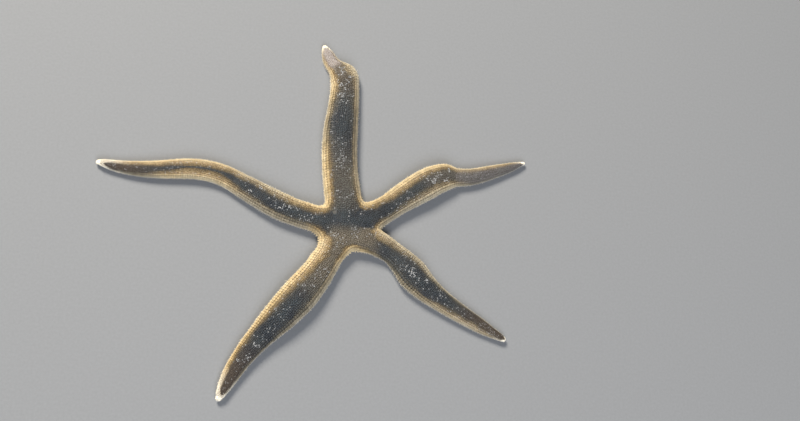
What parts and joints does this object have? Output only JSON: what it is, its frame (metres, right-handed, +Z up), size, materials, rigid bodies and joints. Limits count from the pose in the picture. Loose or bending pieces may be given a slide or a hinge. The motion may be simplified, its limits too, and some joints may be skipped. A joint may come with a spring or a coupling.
{
  "type": "slender-armed starfish",
  "caption": "Life-size slender-armed starfish at rest, long flat arms bent round a small disc, dark stripe between golden margins.",
  "frame": {"origin": "centre of the base of the bounding box, on the level that the soles rest on", "axes": "+Z up from the soles through the back of the disc; +X and +Y level, the longest span near +X, the arm called north near +Y"},
  "size_m": [0.2006, 0.173, 0.007],
  "materials": {
    "disc": "damp, fine-grained",
    "arm": "damp, fine-grained",
    "paxillae": "damp, granular",
    "spines": "satin",
    "tube_feet": "wet",
    "terminal_plate": "satin",
    "jaw": "satin",
    "madreporite": "matte, furrowed"
  },
  "bodies": {
    "root": {"disc": "disc", "arm_north_root": "arm", "arm_north_middle": "arm", "arm_north_tip": "arm", "terminal_plate_north": "terminal_plate", "arm_east_root": "arm", "arm_east_middle": "arm", "arm_east_tip": "arm", "terminal_plate_east": "terminal_plate", "arm_southeast_root": "arm", "arm_southeast_middle": "arm", "arm_southeast_tip": "arm", "terminal_plate_southeast": "terminal_plate", "arm_southwest_root": "arm", "arm_southwest_middle": "arm", "arm_southwest_tip": "arm", "terminal_plate_southwest": "terminal_plate", "arm_west_root": "arm", "arm_west_middle": "arm", "arm_west_tip": "arm", "terminal_plate_west": "terminal_plate", "jaw_1": "jaw", "jaw_2": "jaw", "jaw_3": "jaw", "jaw_4": "jaw", "jaw_5": "jaw", "madreporite": "madreporite"}
  },
  "joints": []
}
